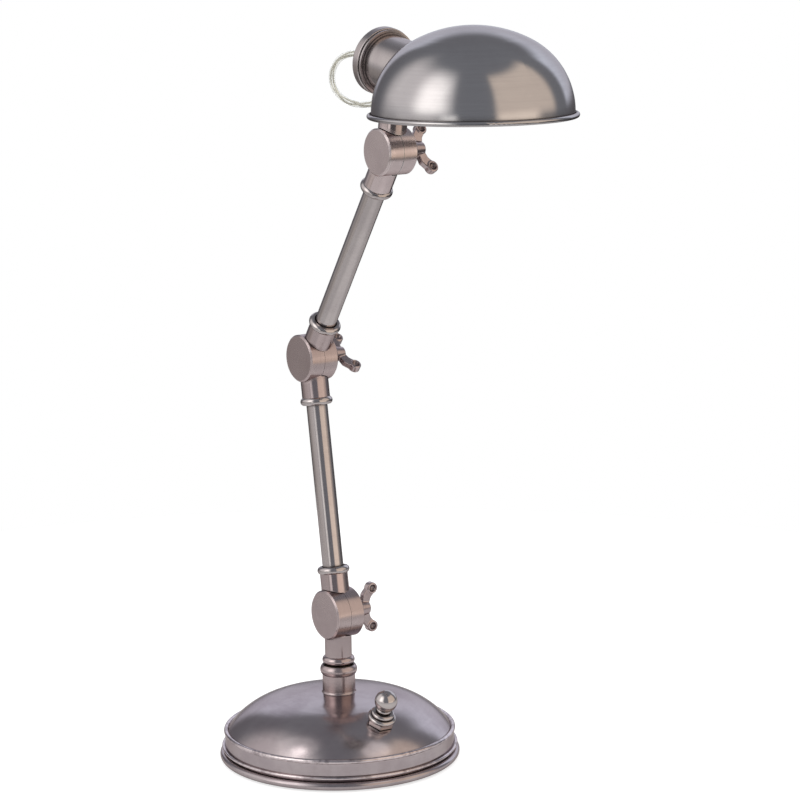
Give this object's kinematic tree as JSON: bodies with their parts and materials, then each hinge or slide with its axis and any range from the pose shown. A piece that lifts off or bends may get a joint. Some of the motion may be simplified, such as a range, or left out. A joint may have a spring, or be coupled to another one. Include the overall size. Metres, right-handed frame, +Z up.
{
  "type": "table lamp",
  "caption": "Table lamp with a round weighted base, a swivelling post, tube arms on clamped swivel joints with wing nuts, a ball switch knob and a tilting dome shade.",
  "frame": {"origin": "middle of the underside of the base, on the table", "axes": "+Z up, +X the way the shade points at rest, +Y along the joint axes towards the wing nuts"},
  "size_m": [0.3078, 0.165, 0.5061],
  "materials": {
    "aged_nickel": "antique nickel, satin, dark in the recesses and bright on the edges",
    "plain_steel": "zinc plated",
    "cast_weight": "rough",
    "felt": "felt",
    "black_bushing": "moulded",
    "insulator": "moulded",
    "brass": "plain",
    "fibre": "fibre",
    "clear_lead": "clear sleeve over pale wires",
    "opal_glass": "frosted",
    "lamp_cap": "thin pressed"
  },
  "bodies": {
    "base": {"base_shell": "aged_nickel", "base_weight": "cast_weight", "base_plate": "plain_steel", "plate_screws": "plain_steel", "felt_pad": "felt", "tie_rod": "plain_steel", "tie_washer": "plain_steel", "tie_nut": "plain_steel", "cord_bushing": "black_bushing", "switch_body": "insulator", "switch_nut": "aged_nickel", "switch_collar": "aged_nickel", "base_post": "aged_nickel", "swivel_screw": "plain_steel", "swivel_washer": "brass"},
    "switch_knob": {"switch_knob": "aged_nickel", "switch_shaft": "plain_steel"},
    "turret": {"turret_knuckle": "aged_nickel", "shoulder_stud": "plain_steel", "shoulder_friction_washer": "fibre"},
    "lower_arm": {"shoulder_knuckle": "aged_nickel", "shoulder_spring_washer": "plain_steel", "lower_arm_tube": "aged_nickel", "lower_arm_beads": "aged_nickel", "lower_arm_lead": "clear_lead", "lower_lead_bushings": "black_bushing", "elbow_lower_knuckle": "aged_nickel", "elbow_stud": "plain_steel", "elbow_friction_washer": "fibre"},
    "upper_arm": {"elbow_upper_knuckle": "aged_nickel", "elbow_spring_washer": "plain_steel", "upper_arm_tube": "aged_nickel", "upper_arm_beads": "aged_nickel", "upper_arm_lead": "clear_lead", "upper_lead_bushings": "black_bushing", "wrist_lower_knuckle": "aged_nickel", "wrist_stud": "plain_steel", "wrist_friction_washer": "fibre"},
    "head": {"wrist_upper_knuckle": "aged_nickel", "wrist_spring_washer": "plain_steel", "socket_cup": "aged_nickel", "socket_cap": "aged_nickel", "cap_bushing": "black_bushing", "stem_bushing": "black_bushing", "head_lead": "clear_lead", "socket_body": "insulator", "screw_shell": "brass", "centre_contact": "brass", "lamp_cap": "lamp_cap", "lamp_glass": "opal_glass", "shade": "aged_nickel", "shade_ring": "aged_nickel"},
    "shoulder_nut": {"shoulder_wing_nut": "aged_nickel"},
    "elbow_nut": {"elbow_wing_nut": "aged_nickel"},
    "wrist_nut": {"wrist_wing_nut": "aged_nickel"}
  },
  "joints": [
    {"name": "base_swivel", "type": "hinge", "parent": "base", "child": "turret", "pos_m": [0, 0, 0.06547], "axis": [0, 0, 1], "range_deg": [-155, 155]},
    {"name": "shoulder_tilt", "type": "hinge", "parent": "turret", "child": "lower_arm", "pos_m": [0, 0, 0.10097], "axis": [0, 1, 0], "range_deg": [-40, 45]},
    {"name": "elbow_tilt", "type": "hinge", "parent": "lower_arm", "child": "upper_arm", "pos_m": [-0.02632, 0, 0.27499], "axis": [0, 1, 0], "range_deg": [-75, 45]},
    {"name": "wrist_tilt", "type": "hinge", "parent": "upper_arm", "child": "head", "pos_m": [0.07031, 0, 0.42209], "axis": [0, 1, 0], "range_deg": [-60, 75]},
    {"name": "shoulder_nut_turn", "type": "hinge", "parent": "turret", "child": "shoulder_nut", "pos_m": [0, 0.02, 0.10097], "axis": [0, 1, 0], "range_deg": [-90, 90]},
    {"name": "elbow_nut_turn", "type": "hinge", "parent": "lower_arm", "child": "elbow_nut", "pos_m": [-0.02632, 0.02, 0.27499], "axis": [0, 1, 0], "range_deg": [-90, 90]},
    {"name": "wrist_nut_turn", "type": "hinge", "parent": "upper_arm", "child": "wrist_nut", "pos_m": [0.07031, 0.02, 0.42209], "axis": [0, 1, 0], "range_deg": [-90, 90]},
    {"name": "switch_turn", "type": "hinge", "parent": "base", "child": "switch_knob", "pos_m": [0.05516, -0.00362, 0.03756], "axis": [0.4164, -0.0273, 0.9088], "range_deg": [0, 270]}
  ]
}
